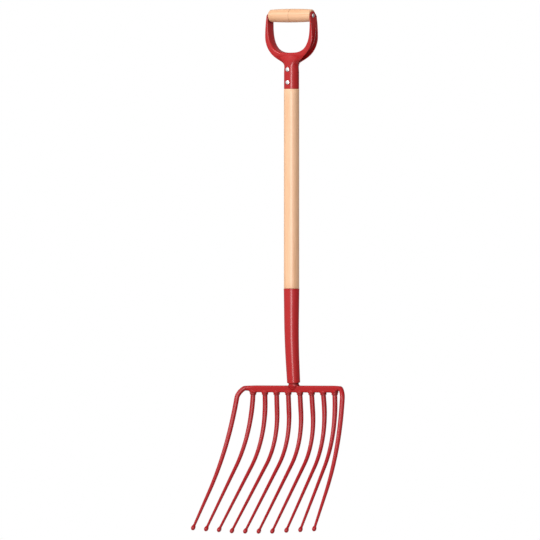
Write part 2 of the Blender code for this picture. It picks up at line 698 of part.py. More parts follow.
def tine_path(number, pitches, bend):
    """Route of a tine to its tip, how far along it the body starts, and its seat's place and heading."""
    middle, _, _ = head_frame()
    if is_outer(number):
        seat, heading = bar_end(number)
        line = tine_line(pitches, bend, middle - Vector((0, OUTER_FORWARD, 0)))
        line = [point for point in line if middle.z - point.z >= CORNER_END_DROP]
        down = (line[1] - line[0]).normalized()
        lead = [seat + heading * along for along in (-SPIGOT_LENGTH, 0.0, CORNER_LEAD / 2)]
        corner = corner_curve(seat + heading * CORNER_LEAD, heading, line[0], down)
        route = Path(lead + corner + line[1:], (0, 0, 1))
        return route, SPIGOT_LENGTH + GAP, seat, heading
    path = bar_path()
    distance = np.interp(pitches * TINE_PITCH, path.points[:, 0], path.marks)
    route = Path(tine_line(pitches, bend, path.frame(distance)[0]), (1, 0, 0))
    boss_end = (BAR_HEIGHT / 2 + BOSS_LENGTH) / math.cos(math.radians(bend["lean"]) + HEAD_LEAN)
    seat, _, _, heading = route.frame(boss_end)
    return route, boss_end + GAP, seat, heading


def rod_radius(distance, full, length, thinning):
    """Radius of a tine's rod, which thins from the end of its full stretch to its ball."""
    share = max(0.0, distance - full) / (length - full)
    return (TINE_DIAMETER - (TINE_DIAMETER - TINE_NECK_DIAMETER) * share ** thinning) / 2


def ball_radius(past_widest):
    """Radius of the ball at a distance past its widest place, before it negative."""
    reach = BALL_NOSE if past_widest > 0 else BALL_TAIL
    return BALL_DIAMETER / 2 * math.sqrt(max(0.0, 1 - (past_widest / reach) ** 2))


def make_tine(number, pitches, bend, paint):
    route, start, _, _ = tine_path(number, pitches, bend)
    spigot = SPIGOT_DIAMETER / 2
    spigot_end = start - SPIGOT_LENGTH + GAP
    full = start + TINE_FULL_LENGTH
    widest = route.length - BALL_NOSE
    profile = [(spigot_end, spigot - SPIGOT_CHAMFER), (spigot_end + SPIGOT_CHAMFER, spigot), (start, spigot)]
    for distance in route.stations(start, widest - BALL_TAIL):
        profile.append((distance, rod_radius(distance, full, route.length, bend["thinning"])))
    ball = [-BALL_TAIL * share for share in BALL_TAIL_SHARES]
    ball += [BALL_NOSE * share for share in BALL_NOSE_SHARES]
    for past in ball:
        rod = rod_radius(widest + past, full, route.length, bend["thinning"]) if past < 0 else 0.0
        profile.append((widest + past, max(rod, ball_radius(past))))
    sections = [route.section(distance, circle(radius, ROD_SIDES)) for distance, radius in profile]
    lofted(f"tine_{number:02d}", sections, paint)


def bar_section(path, distance):
    """The bar is rectangular with soft corners, and thins to a round stub at each end."""
    arc = BAR_END_RADIUS * BAR_END_TURN
    past = min(distance, path.length - distance)
    share = min(1.0, past / arc)
    drop = min(1.0, max(0.0, (past - STUB_HEIGHT_LENGTH) / FILLET_LENGTH))
    height = STUB_DIAMETER + (BAR_HEIGHT - STUB_DIAMETER) * (1 - math.sqrt(1 - drop * drop))
    depth = STUB_DIAMETER + (BAR_DEPTH - STUB_DIAMETER) * share
    corner = STUB_DIAMETER / 2 + (BAR_CORNER_RADIUS - STUB_DIAMETER / 2) * share
    rise = (BAR_HEIGHT - height) / 2
    return path.section(distance, [(u, v + rise) for u, v in rounded_rectangle(depth, height, corner)])


def make_hub(paint):
    """Tang in the tube, neck, and the hub that flares into the bar's top and runs out on its faces."""
    middle, up, back = head_frame()
    tang = socket_outer_radius(1.0) - SOCKET_WALL - GAP
    neck = NECK_DIAMETER / 2
    half = BAR_HEIGHT / 2
    tube_end = half + NECK_HEIGHT
    profile = [
        (tube_end + TANG_LENGTH, tang - TANG_CHAMFER, tang - TANG_CHAMFER),
        (tube_end + TANG_LENGTH - TANG_CHAMFER, tang, tang),
        (tube_end, tang, tang),
        (tube_end - (tang - neck), neck, neck),
        (tube_end - NECK_STRAIGHT_HEIGHT, neck, neck),
        (half - HUB_SINK, HUB_WIDTH / 2, HUB_DEPTH / 2),
        (half - BAR_CORNER_RADIUS, HUB_WIDTH / 2 - BAR_CORNER_RADIUS, HUB_SHOULDER_DEPTH / 2),
        (0.0, HUB_WIDTH / 4 + HUB_FOOT_WIDTH / 4, (neck + HUB_FOOT_DEPTH / 2) / 2),
        (-half + BAR_CORNER_RADIUS, HUB_FOOT_WIDTH / 2, HUB_FOOT_DEPTH / 2),
    ]
    sections = []
    for height, half_width, half_depth in profile:
        flatness = half_depth / half_width
        sections.append([middle + up * height + Vector((u, 0, 0)) + back * v * flatness
                         for u, v in circle(half_width, ROUND_STEPS)])
    return lofted("crossbar_hub", sections, paint)


def make_boss(number, place, heading, paint):
    """A short collar under the bar, which flares where it meets it."""
    root = BOSS_ROOT_DIAMETER / 2
    tip = BOSS_DIAMETER / 2
    profile = [(0.0, 0.0), (tip, 0.0)]
    for share in BOSS_FLARE_SHARES:
        profile.append((tip + (root - tip) * (1 - math.sqrt(1 - share * share)), -BOSS_LENGTH * share))
    top = -BOSS_LENGTH - BOSS_REACH
    profile += [(root / 2, top), (0.0, top)]
    return turned(f"boss_{number:02d}", profile, lying(heading, place), paint, ROD_SIDES)


def make_crossbar(paint):
    path = bar_path()
    arc = BAR_END_RADIUS * BAR_END_TURN
    fillet = [STUB_HEIGHT_LENGTH + FILLET_LENGTH * share for share in FILLET_SHARES]
    stations = [0.0] + fillet + list(np.linspace(fillet[-1], arc, BAR_END_STATIONS)[1:])
    stations += [path.length - distance for distance in reversed(stations)]
    bar = lofted("crossbar", [bar_section(path, distance) for distance in stations], paint)
    combine(bar, make_hub(paint), "UNION")
    drill = SPIGOT_DIAMETER / 2 + GAP
    deep = -SPIGOT_LENGTH - GAP
    profile = [(0.0, deep), (drill, deep), (drill, DRILL_START), (0.0, DRILL_START)]
    half_step = Matrix.Rotation(math.pi / ROD_SIDES, 4, "Z")
    for number, pitches, bend in tine_places():
        _, _, place, heading = tine_path(number, pitches, bend)
        if not is_outer(number):
            combine(bar, make_boss(number, place, heading, paint), "UNION")
        combine(bar, turned(f"drill_{number:02d}", profile, lying(heading, place) @ half_step, paint,
                            ROD_SIDES), "DIFFERENCE")


def build():
    clear_scene()
    paint = make_material("red_paint", (0.52, 0.03, 0.035), 0.32, 0.0)
    wood = make_material("pale_wood", (0.86, 0.62, 0.38), 0.55, 0.0)
    steel = make_material("bright_steel", (0.82, 0.82, 0.82), 0.28, 1.0)
    make_grip(wood, steel)
    make_yoke(paint)
    make_yoke_rivets(steel)
    make_shaft(wood)
    make_socket(paint, steel)
    make_crossbar(paint)
    for number, pitches, bend in tine_places():
        make_tine(number, pitches, bend, paint)


build()
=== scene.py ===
import bisect
import math

import bmesh
import bpy
from mathutils import Matrix, Vector


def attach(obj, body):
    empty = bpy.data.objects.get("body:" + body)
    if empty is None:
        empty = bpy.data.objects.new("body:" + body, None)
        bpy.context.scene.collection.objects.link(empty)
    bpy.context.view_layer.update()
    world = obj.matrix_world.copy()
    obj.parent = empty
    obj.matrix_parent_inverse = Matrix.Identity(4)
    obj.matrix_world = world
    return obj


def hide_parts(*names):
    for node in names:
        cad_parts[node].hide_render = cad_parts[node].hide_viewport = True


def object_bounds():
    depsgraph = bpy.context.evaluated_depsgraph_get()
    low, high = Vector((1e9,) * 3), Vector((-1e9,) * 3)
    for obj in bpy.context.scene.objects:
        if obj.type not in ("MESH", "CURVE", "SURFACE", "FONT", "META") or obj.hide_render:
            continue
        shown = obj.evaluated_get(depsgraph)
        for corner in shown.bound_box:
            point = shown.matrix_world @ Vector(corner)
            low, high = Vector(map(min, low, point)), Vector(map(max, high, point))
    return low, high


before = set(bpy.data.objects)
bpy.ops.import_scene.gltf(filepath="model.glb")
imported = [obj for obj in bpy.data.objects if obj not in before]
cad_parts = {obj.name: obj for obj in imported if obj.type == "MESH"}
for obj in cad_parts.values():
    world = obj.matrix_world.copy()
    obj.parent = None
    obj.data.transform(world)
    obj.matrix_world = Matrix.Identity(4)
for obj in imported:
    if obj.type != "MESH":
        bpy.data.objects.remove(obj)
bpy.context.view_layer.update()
print("frame loaded:", len(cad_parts), "nodes")


# Camera
photo = {"azimuth": 32.5, "mmPerPixel": 2.353, "pixels": 540, "axisX": 291.55, "gripRow": 15.63,
         "gripAxisZ": 0.0161, "distance": 45.0, "sensor": 36.0, "clipStart": 1.0, "clipEnd": 100.0}


def outward(azimuth, elevation=0.0):           # a direction, counted from the camera's own to its right
    turn = math.radians(photo["azimuth"] + azimuth)
    lift = math.radians(elevation)
    return Vector((math.sin(turn) * math.cos(lift), -math.cos(turn) * math.cos(lift), math.sin(lift)))


def linked(name, data):                        # a new object in the scene
    made = bpy.data.objects.new(name, data)
    bpy.context.scene.collection.objects.link(made)
    return made


def face(made, out):                           # a camera or lamp that stands out that way looks back
    made.rotation_mode = "QUATERNION"
    made.rotation_quaternion = (-out).to_track_quat("-Z", "Y")


def addCamera():
    scale = photo["mmPerPixel"] / 1000
    middle = photo["pixels"] / 2
    aim = outward(90) * (middle - photo["axisX"]) * scale
    aim.z = photo["gripAxisZ"] - (middle - photo["gripRow"]) * scale
    data = bpy.data.cameras.new("photoCamera")
    data.sensor_width = photo["sensor"]
    data.lens = photo["sensor"] * photo["distance"] / (photo["pixels"] * scale)
    data.clip_start = photo["clipStart"]
    data.clip_end = photo["clipEnd"]
    camera = linked("photoCamera", data)
    camera.location = aim + outward(0) * photo["distance"]
    face(camera, outward(0))
    bpy.context.scene.camera = camera


# Shader helpers
class Wire:                                    # an output socket with arithmetic
    def __init__(self, nodes, socket):
        self.nodes = nodes
        self.socket = socket

    def maths(self, operation, *values):
        return self.nodes.node("ShaderNodeMath", {"operation": operation}, dict(enumerate(values)))

    def __add__(self, other):
        return self.maths("ADD", self, other)

    def __radd__(self, other):
        return self.maths("ADD", other, self)

    def __sub__(self, other):
        return self.maths("SUBTRACT", self, other)

    def __rsub__(self, other):
        return self.maths("SUBTRACT", other, self)

    def __mul__(self, other):
        return self.maths("MULTIPLY", self, other)

    def __rmul__(self, other):
        return self.maths("MULTIPLY", other, self)


class Nodes:                                   # the nodes of a material or of the world
    def __init__(self, owner):
        owner.use_nodes = True
        self.tree = owner.node_tree

    def node(self, kind, settings, sockets, output=0):
        made = self.tree.nodes.new(kind)
        for key, value in settings.items():
            if key == "stops":
                ramp = made.color_ramp
                while len(ramp.elements) < len(value):
                    ramp.elements.new(0.5)
                for element, (place, colour) in zip(ramp.elements, value):
                    element.position = place
                    element.color = (*colour, 1.0)
            else:
                setattr(made, key, value)
        for key, value in sockets.items():
            self.feed(made.inputs[key], value)
        return Wire(self, made.outputs[output])

    def feed(self, socket, value):
        if isinstance(value, Wire):
            self.tree.links.new(value.socket, socket)
        elif isinstance(value, tuple) and len(value) == 3 and len(socket.default_value) == 4:
            socket.default_value = (*value, 1.0)
        else:
            socket.default_value = value

    def span(self, value, low, high, first=0.0, last=1.0):     # a soft step between two values
        return self.node("ShaderNodeMapRange", {"interpolation_type": "SMOOTHSTEP"},
                         {"Value": value, "From Min": low, "From Max": high, "To Min": first, "To Max": last})


class Finish(Nodes):                           # a material and its Principled shader
    def __init__(self, name, roughness, metallic=0.0, coat=0.0, coatRoughness=0.1):
        self.material = bpy.data.materials.new(name)
        super().__init__(self.material)
        self.shader = self.tree.nodes["Principled BSDF"]
        self.set("Roughness", roughness)
        self.set("Metallic", metallic)
        self.set("Coat Weight", coat)
        self.set("Coat Roughness", coatRoughness)

    def set(self, name, value):
        self.feed(self.shader.inputs[name], value)

    def coordinates(self):
        return self.node("ShaderNodeTexCoord", {}, {}, "Object")

    def place(self, scale):                    # object coordinates, stretched
        return self.node("ShaderNodeMapping", {}, {"Vector": self.coordinates(), "Scale": scale})

    def noise(self, spot, scale, detail=3.0, roughness=0.5, distortion=0.0):
        return self.node("ShaderNodeTexNoise", {}, {"Vector": spot, "Scale": scale, "Detail": detail,
                                                   "Roughness": roughness, "Distortion": distortion})

    def ramp(self, factor, *stops):
        return self.node("ShaderNodeValToRGB", {"stops": stops}, {"Fac": factor})

    def blend(self, mask, first, second):      # 0, 6, 7 and output 2 are the colour sockets of Mix
        return self.node("ShaderNodeMix", {"data_type": "RGBA"}, {0: mask, 6: first, 7: second}, 2)

    def bump(self, height, distance):
        self.set("Normal", self.node("ShaderNodeBump", {}, {"Height": height, "Distance": distance}))


# Mesh helpers
def spread(low, high, count):                  # count values from low to high
    return [low + (high - low) * i / (count - 1) for i in range(count)]


def smoothStep(value):
    value = min(1.0, max(0.0, value))
    return value * value * (3 - 2 * value)


def softLarger(first, second, blend):          # the larger value, with a rounded crossing
    overlap = max(blend - abs(first - second), 0.0)
    return max(first, second) + overlap * overlap / (4 * blend)


def lying(axis, place):                        # turns +Z to an axis and moves to a place
    turn = Vector((0, 0, 1)).rotation_difference(Vector(axis))
    return Matrix.Translation(place) @ turn.to_matrix().to_4x4()


def spun(outline, steps, matrix, closed=False):     # radii and heights, turned round Z
    work = bmesh.new()
    points = [work.verts.new((radius, 0, height)) for radius, height in outline]
    edges = [work.edges.new(pair) for pair in zip(points, points[1:])]
    if closed:
        edges.append(work.edges.new((points[-1], points[0])))
    bmesh.ops.spin(work, geom=points + edges, cent=(0, 0, 0), axis=(0, 0, 1), dvec=(0, 0, 0),
                   angle=math.tau, steps=steps, use_merge=True, use_duplicate=False)
    bmesh.ops.remove_doubles(work, verts=work.verts, dist=1e-6)
    bmesh.ops.transform(work, matrix=matrix, verts=work.verts)
    return work


def extruded(rows, closed):                    # each row is extruded from the last one
    def pairs(row):
        return list(zip(row, row[1:])) + ([(row[-1], row[0])] if closed else [])

    work = bmesh.new()
    row = [work.verts.new(point) for point in rows[0]]
    edges = [work.edges.new(pair) for pair in pairs(row)]
    for points in rows[1:]:
        made = bmesh.ops.extrude_edge_only(work, edges=edges)["geom"]
        fresh = {item for item in made if isinstance(item, bmesh.types.BMVert)}
        row = [next(edge.other_vert(vert) for edge in vert.link_edges if edge.other_vert(vert) in fresh)
               for vert in row]
        for vert, point in zip(row, points):
            vert.co = point
        edges = [work.edges.get(pair) for pair in pairs(row)]
    return work


def meshOf(work, name):                        # the bmesh is written to a mesh and freed
    mesh = bpy.data.meshes.new(name)
    work.to_mesh(mesh)
    work.free()
    return mesh


def join(work, other):                         # adds one bmesh to another
    mesh = meshOf(other, "joined")
    work.from_mesh(mesh)
    bpy.data.meshes.remove(mesh)


def applyModifiers(piece):
    bpy.context.view_layer.update()
    mesh = bpy.data.meshes.new_from_object(piece.evaluated_get(bpy.context.evaluated_depsgraph_get()))
    piece.modifiers.clear()
    piece.data = mesh


def cutPiece(piece, work):                     # subtracts a closed shape
    tool = linked("cutter", meshOf(work, "cutter"))
    cut = piece.modifiers.new("slot", "BOOLEAN")
    cut.object = tool
    applyModifiers(piece)
    bpy.data.objects.remove(tool)


def addPiece(name, work, finish, node, sharp=35, wall=0.0):
    bmesh.ops.recalc_face_normals(work, faces=work.faces)
    mesh = meshOf(work, name)
    mesh.shade_smooth()
    mesh.set_sharp_from_angle(angle=math.radians(sharp))
    mesh.materials.append(finish.material)
    piece = linked(name, mesh)
    if wall:
        sheet = piece.modifiers.new("sheet", "SOLIDIFY")
        sheet.thickness = wall
        sheet.offset = -1.0
        sheet.use_even_offset = True
        sheet.use_quality_normals = True
        applyModifiers(piece)
        piece.data.set_sharp_from_angle(angle=math.radians(sharp))
    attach(piece, "root")
    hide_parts(node)
    return piece


routeSteps = {"straight": 12, "bend": 41}      # points along each part of a route


class Route:                                   # close points, with a frame that turns as little as it can
    def __init__(self, points, side):
        self.points = [Vector(point) for point in points]
        self.marks = [0.0]
        for a, b in zip(self.points, self.points[1:]):
            self.marks.append(self.marks[-1] + (b - a).length)
        self.length = self.marks[-1]
        last = len(self.points) - 1
        self.headings = [(self.points[min(i + 1, last)] - self.points[max(i - 1, 0)]).normalized()
                         for i in range(last + 1)]
        self.sides = []
        side = Vector(side)
        for heading in self.headings:
            side = (side - heading * side.dot(heading)).normalized()
            self.sides.append(side)

    def frame(self, distance):                 # place, two sides and heading
        i = max(0, min(len(self.marks) - 2, bisect.bisect_right(self.marks, distance) - 1))
        share = (distance - self.marks[i]) / (self.marks[i + 1] - self.marks[i])
        place = self.points[i].lerp(self.points[i + 1], share)
        heading = self.headings[i].lerp(self.headings[i + 1], share).normalized()
        side = self.sides[i].lerp(self.sides[i + 1], share)
        side = (side - heading * side.dot(heading)).normalized()
        return place, side, heading.cross(side), heading

    def ring(self, distance, radius, sides):
        place, u, v, _ = self.frame(distance)
        turns = [math.tau * i / sides for i in range(sides)]
        return [place + u * radius * math.cos(turn) + v * radius * math.sin(turn) for turn in turns]


# Red paint
# corner is a painted shade colour: the paint turns to it in corners and hollows that ambient occlusion finds
# within cornerReach, over the open range
paintLook = {"colour": (0.54, 0.012, 0.014), "deep": (0.49, 0.007, 0.008), "corner": (0.10, 0.001, 0.001),
             "cornerReach": 0.014, "open": (0.35, 0.95), "roughness": 0.24, "uneven": 0.12, "dull": 0.35,
             "specular": 0.28, "coat": 0.2, "coatRoughness": 0.15, "patches": 14.0, "peel": 420.0,
             "peelDepth": 0.00001}
tineLook = dict(paintLook, colour=(0.465, 0.008, 0.013), deep=(0.42, 0.006, 0.010), roughness=0.3, coat=0.12,
                coatRoughness=0.22)
# the near black corner colour here is painted shade, under the bar and round its bosses and neck
forgedLook = {"colour": (0.49, 0.008, 0.010), "deep": (0.44, 0.005, 0.007), "corner": (0.03, 0.001, 0.001),
              "cornerReach": 0.018, "open": (0.5, 0.97), "roughness": 0.36, "uneven": 0.14, "dull": 0.2,
              "specular": 0.25, "coat": 0.1, "coatRoughness": 0.2, "patches": 30.0, "peel": 110.0,
              "peelDepth": 0.00006}


def makePaint(name, look):
    paint = Finish(name, look["roughness"], coat=look["coat"], coatRoughness=look["coatRoughness"])
    spot = paint.place((1, 1, 1))
    patches = paint.noise(spot, look["patches"], detail=4.0, roughness=0.6)
    peel = paint.noise(spot, look["peel"], detail=2.0)
    air = paint.node("ShaderNodeAmbientOcclusion", {"samples": 8}, {"Distance": look["cornerReach"]}, "AO")
    clear = paint.span(air, *look["open"])     # painted shade: where ambient occlusion finds corners and hollows, the base colour is darkened towards the corner colour, and the gloss is duller there
    tone = paint.blend(patches, look["deep"], look["colour"])
    # painted shade: the base colour goes from the paint's tone to the dark corner colour as the occlusion
    # deepens
    paint.set("Base Color", paint.blend(clear, look["corner"], tone))
    paint.set("Roughness", look["roughness"] + patches * look["uneven"] + (1 - clear) * look["dull"])
    paint.set("Coat Weight", clear * look["coat"])
    paint.set("Specular IOR Level", look["specular"])
    paint.bump(peel, look["peelDepth"])
    return paint


# Wood
woodLook = {"dark": (0.85, 0.45, 0.228), "pale": (0.99, 0.585, 0.347), "bright": (1.0, 0.635, 0.39),
            "tones": (0.30, 0.52, 0.80), "stretch": 0.035, "streaks": 210.0, "streakShare": 0.55,
            "rings": 26.0, "ringShare": 0.45, "pores": 900.0, "poreStretch": 0.06, "poreStart": 0.60,
            "poreFull": 0.72, "poreShade": 0.35, "roughness": 0.36, "uneven": 0.16, "coat": 0.15,
            "coatRoughness": 0.2, "streakRelief": 0.6, "poreRelief": 0.4, "relief": 0.00006,
            "line": (0.42, 0.20, 0.09), "lineCore": 0.4, "lineShade": 0.55}


def makeWood(name, axis, look, line=0.0):      # the grain runs along the axis; a turned line may cross it
    wood = Finish(name, look["roughness"], coat=look["coat"], coatRoughness=look["coatRoughness"])
    along = wood.place([look["stretch"] if i == axis else 1 for i in range(3)])
    streaks = wood.noise(along, look["streaks"], detail=4.0, roughness=0.62, distortion=0.4)
    rings = wood.noise(along, look["rings"], detail=2.0, roughness=0.4, distortion=1.2)
    fine = wood.place([look["poreStretch"] if i == axis else 1 for i in range(3)])
    pores = wood.noise(fine, look["pores"], detail=1.0)
    fleck = wood.node("ShaderNodeMapRange", {}, {"Value": pores, "From Min": look["poreStart"],
                                                 "From Max": look["poreFull"]})
    tone = streaks * look["streakShare"] + rings * look["ringShare"]
    colour = wood.ramp(tone, *zip(look["tones"], (look["dark"], look["pale"], look["bright"])))
    colour = wood.blend(fleck * look["poreShade"], colour, look["dark"])
    if line:
        off = wood.node("ShaderNodeSeparateXYZ", {}, {0: wood.coordinates()}, "XYZ"[axis])
        off = off.maths("ABSOLUTE", off)
        mark = wood.span(off, line * look["lineCore"], line, look["lineShade"], 0.0)
        colour = wood.blend(mark, colour, look["line"])
    wood.set("Base Color", colour)
    wood.set("Roughness", look["roughness"] + streaks * look["uneven"])
    wood.bump(streaks * look["streakRelief"] + pores * look["poreRelief"], look["relief"])
    return wood


# Steel
steelLook = {"colour": (0.86, 0.86, 0.87), "dull": (0.78, 0.78, 0.79), "haze": 380.0, "roughness": 0.2,
             "uneven": 0.2, "relief": 0.00004}


def makeSteel(name, look):
    steel = Finish(name, look["roughness"], metallic=1.0)
    haze = steel.noise(steel.place((1, 1, 1)), look["haze"])
    steel.set("Base Color", steel.blend(haze, look["dull"], look["colour"]))
    steel.set("Roughness", look["roughness"] + haze * look["uneven"])
    steel.bump(haze, look["relief"])
    return steel


redPaint = makePaint("redPaint", paintLook)
tinePaint = makePaint("tineRedPaint", tineLook)
forgedPaint = makePaint("forgedRedPaint", forgedLook)
shaftWood = makeWood("shaftWood", 2, woodLook)
gripWood = makeWood("gripWood", 0, woodLook, line=0.0011)
brightSteel = makeSteel("brightSteel", steelLook)
print("finishes made")


# Grip and its rivet
grip = {"length": 0.1152, "middle": 0.0322, "end": 0.0288, "corner": 0.002, "axisZ": 0.0161, "bore": 0.0066,
        "groove": 0.00025, "grooveHalf": 0.0006, "cornerSteps": 7, "bodySteps": 25, "steps": 96}
gripRivet = {"diameter": 0.006, "head": 0.0098, "height": 0.0019, "seat": 0.0602}
rivetHead = {"rim": 0.35, "edge": 0.08, "under": 0.97, "domeSteps": 9, "steps": 48}     # shares and counts


def addGrip():
    half, middle, end, corner = grip["length"] / 2, grip["middle"] / 2, grip["end"] / 2, grip["corner"]
    outline = [(grip["bore"] / 2, half)]
    for angle in spread(math.pi / 2, 0.0, grip["cornerSteps"]):
        outline.append((end - corner * (1 - math.cos(angle)), half - corner * (1 - math.sin(angle))))
    for share in spread(1.0, 0.0, grip["bodySteps"])[1:-1]:
        outline.append((middle - (middle - end) * share * share, (half - corner) * share))
    outline += [(middle, grip["grooveHalf"]), (middle - grip["groove"], 0.0)]     # the line round its middle
    outline += [(radius, -height) for radius, height in reversed(outline[:-1])]
    work = spun(outline, grip["steps"], lying((1, 0, 0), (0, 0, grip["axisZ"])), closed=True)
    addPiece("woodenGrip", work, gripWood, "grip")


def headedPin(rivet, matrix):                  # domed heads at both ends
    radius, seat, height, rim = rivet["head"] / 2, rivet["seat"], rivet["height"], rivetHead["rim"]
    outline = [(0.0, seat + height)]
    for angle in spread(math.pi / 2, 0.0, rivetHead["domeSteps"])[1:]:
        outline.append((radius * math.cos(angle), seat + height * (rim + (1 - rim) * math.sin(angle))))
    outline += [(radius, seat + height * rivetHead["edge"]), (radius * rivetHead["under"], seat),
                (rivet["diameter"] / 2, seat)]
    outline += [(across, -place) for across, place in reversed(outline)]
    return spun(outline, rivetHead["steps"], matrix)


def addGripRivet():
    work = headedPin(gripRivet, lying((1, 0, 0), (0, 0, grip["axisZ"])))
    addPiece("gripRivetHeads", work, brightSteel, "grip_rivet")


addGrip()
addGripRivet()
print("grip made")


# Yoke: a pressed D whose arms are channels, and a split round socket below it
yoke = {"sheet": 0.002, "depth": 0.0285, "bend": 0.003, "bendGrowth": 0.0015, "fold": 0.004, "foldPace": 1.5,
        "innerHalf": 0.0579, "ear": 0.0105, "earTop": 80, "earToFlange": 0.005, "room": 0.0872,
        "innerRoundness": 3.25, "flange": 0.0073, "flangeTop": 0.0034, "widest": 0.0494, "outerDepth": 0.0603,
        "outerRoundness": 1.975, "shoulder": 0.0151, "socketDrop": 0.115, "socketLength": 0.0572,
        "socket": 0.0354, "seam": 0.0009, "arch": 0.0153, "archRoundness": 4.3, "archTop": 0.0935,
        "archLow": 0.004, "wrap": 0.637, "crown": 0.0009, "crownStart": 0.68, "crownWidth": 0.008,
        "rounding": 0.7, "blendReach": 0.02, "blendEnd": 0.3, "blendLow": 0.9, "blendPasses": 24}
yokeGrid = {"ear": 12, "fold": 14, "arm": 48, "fan": 24, "socket": 30, "plate": 12, "bend": 6, "outline": 801}
yokeRivet = {"diameter": 0.005, "head": 0.0098, "height": 0.0018, "seat": 0.018, "first": 0.0149,
             "spacing": 0.0304}


def evenly(points, count):                     # the same line, divided into equal steps
    marks = [0.0]
    for a, b in zip(points, points[1:]):
        marks.append(marks[-1] + math.dist(a, b))
    found = []
    for mark in spread(0.0, marks[-1], count):
        i = max(0, min(len(marks) - 2, bisect.bisect_right(marks, mark) - 1))
        share = (mark - marks[i]) / max(marks[i + 1] - marks[i], 1e-12)
        found.append(tuple(p + (q - p) * share for p, q in zip(points[i], points[i + 1])))
    return found


def innerEdge():                               # half widths and drops below the grip's axis
    points = []
    for angle in spread(0.0, math.pi / 2, yokeGrid["outline"])[:-1]:
        drop = yoke["room"] * math.sin(angle) ** (2 / yoke["innerRoundness"])
        if drop >= yoke["earToFlange"]:
            points.append((yoke["innerHalf"] * math.cos(angle) ** (2 / yoke["innerRoundness"]), drop))
    return points + [(0.0, yoke["room"])]


def plateHalf(drop):                           # outline of the flat plate
    widest = yoke["innerHalf"] + yoke["flange"]
    if drop < yoke["widest"]:
        share = (yoke["widest"] - drop) / (yoke["widest"] - yoke["earToFlange"])
        return widest - (yoke["flange"] - yoke["flangeTop"]) * share * share
    share = min(1.0, (drop - yoke["widest"]) / yoke["outerDepth"])
    curve = widest * (1 - share ** yoke["outerRoundness"]) ** (1 / yoke["outerRoundness"])
    return softLarger(curve, yoke["socket"] / 2, yoke["shoulder"])


def openHalf(closed):                          # half depth of the side opening, from fully open to the seam
    return yoke["seam"] / 2 + (yoke["depth"] - yoke["seam"]) / 2 * (1 - closed)


def plateArch(drop):                           # the opening before its edges are wrapped
    share = min(1.0, max(0.0, 1 - (yoke["socketDrop"] - drop) / yoke["arch"]))
    return openHalf(share ** yoke["archRoundness"])


def archHalf(drop):                            # the opening itself, which runs down to a V
    low = yoke["socketDrop"] + yoke["archLow"]
    return openHalf(smoothStep((drop - yoke["archTop"]) / (low - yoke["archTop"])))


def outerHalf(drop):                           # what an edge loses in depth it gains in width
    if drop >= yoke["socketDrop"]:
        return yoke["socket"] / 2
    return plateHalf(drop) + yoke["wrap"] * max(0.0, plateArch(drop) - archHalf(drop))


def yokePoint(half, depth, drop):
    return Vector((half, -depth, grip["axisZ"] - drop))


def crownDrop(across, width):                  # the plate turns back a little towards its free edge
    share = max(0.0, (across - yoke["crownStart"]) / (1 - yoke["crownStart"]))
    return yoke["crown"] * share * share * smoothStep(width / yoke["crownWidth"])


def fanRow(centre, edge, roundness):           # the plate under the D, from flat to half round
    half, drop = edge
    deep = yoke["depth"] / 2 + (yoke["socket"] - yoke["depth"]) / 2 * roundness
    low = archHalf(drop)
    row = []
    for across in spread(0.0, 1.0, yokeGrid["plate"] + 1):
        turn = across * math.pi / 2
        reach = (1 - roundness) * across + roundness * math.sin(turn)
        depth = low + (deep - low) * math.cos(turn) - crownDrop(across, half) * (1 - roundness)
        row.append(yokePoint(half * reach, max(depth, yoke["seam"] / 2), centre + (drop - centre) * across))
    return row


def earRows():                                 # a flat round end whose sides fold out into the flanges
    halfDepth, bend, ear = yoke["depth"] / 2, yoke["bend"], yoke["ear"]
    arc = bend * math.pi / 2
    marks = spread(0.0, arc, yokeGrid["bend"] + 1)
    marks += spread(arc, arc + yoke["flangeTop"] - bend, yokeGrid["plate"] + 1)[1:]
    first = math.asin(yoke["fold"] / ear)
    top = math.radians(yoke["earTop"])
    flatHalf = ear * math.cos(first)
    folds = [0.0] + [(flatHalf - marks[-1] + mark) / flatHalf for mark in marks]
    even = spread(0.0, 1.0, len(folds))
    rows = []
    for angle in spread(top, first, yokeGrid["ear"]):
        share = (angle - first) / (top - first)
        shares = [a + (b - a) * min(1.0, 2 * share) for a, b in zip(folds, even)]
        reach = ear * math.cos(angle)
        rows.append([yokePoint(yoke["innerHalf"], reach * spot, -ear * math.sin(angle)) for spot in shares])
    for share in spread(0.0, 1.0, yokeGrid["fold"] + 1)[1:-1]:
        folded = smoothStep(share * yoke["foldPace"])
        start = flatHalf - marks[-1] + (halfDepth - bend - flatHalf + marks[-1]) * folded
        drop = -yoke["fold"] + (yoke["fold"] + yoke["earToFlange"]) * share
        row = [yokePoint(yoke["innerHalf"], 0.0, drop)]
        for mark in marks:
            turned = min(mark / bend, folded * math.pi / 2)
            rest = mark - turned * bend
            row.append(yokePoint(yoke["innerHalf"] + bend * (1 - math.cos(turned)) + rest * math.sin(turned),
                                 start + bend * math.sin(turned) + rest * math.cos(turned), drop))
        rows.append(row)
    return rows


def armRow(place, tangent, edge, bend):        # across one arm: web, bend and plate
    halfDepth = yoke["depth"] / 2
    normal = Vector((tangent.y, -tangent.x))
    row = [yokePoint(place[0], 0.0, place[1])]
    for turn in spread(0.0, math.pi / 2, yokeGrid["bend"] + 1):
        spot = Vector(place) + normal * bend * (1 - math.cos(turn))
        row.append(yokePoint(spot.x, halfDepth + bend * (math.sin(turn) - 1), spot.y))
    start = Vector(place) + normal * bend
    low = archHalf(edge[1])
    plate = Vector(edge) - start
    for across in spread(0.0, 1.0, yokeGrid["plate"] + 1)[1:]:
        spot = start + plate * across
        depth = low + (halfDepth - low) * math.cos(across * math.pi / 2) - crownDrop(across, plate.length)
        row.append(yokePoint(spot.x, depth, spot.y))
    return row


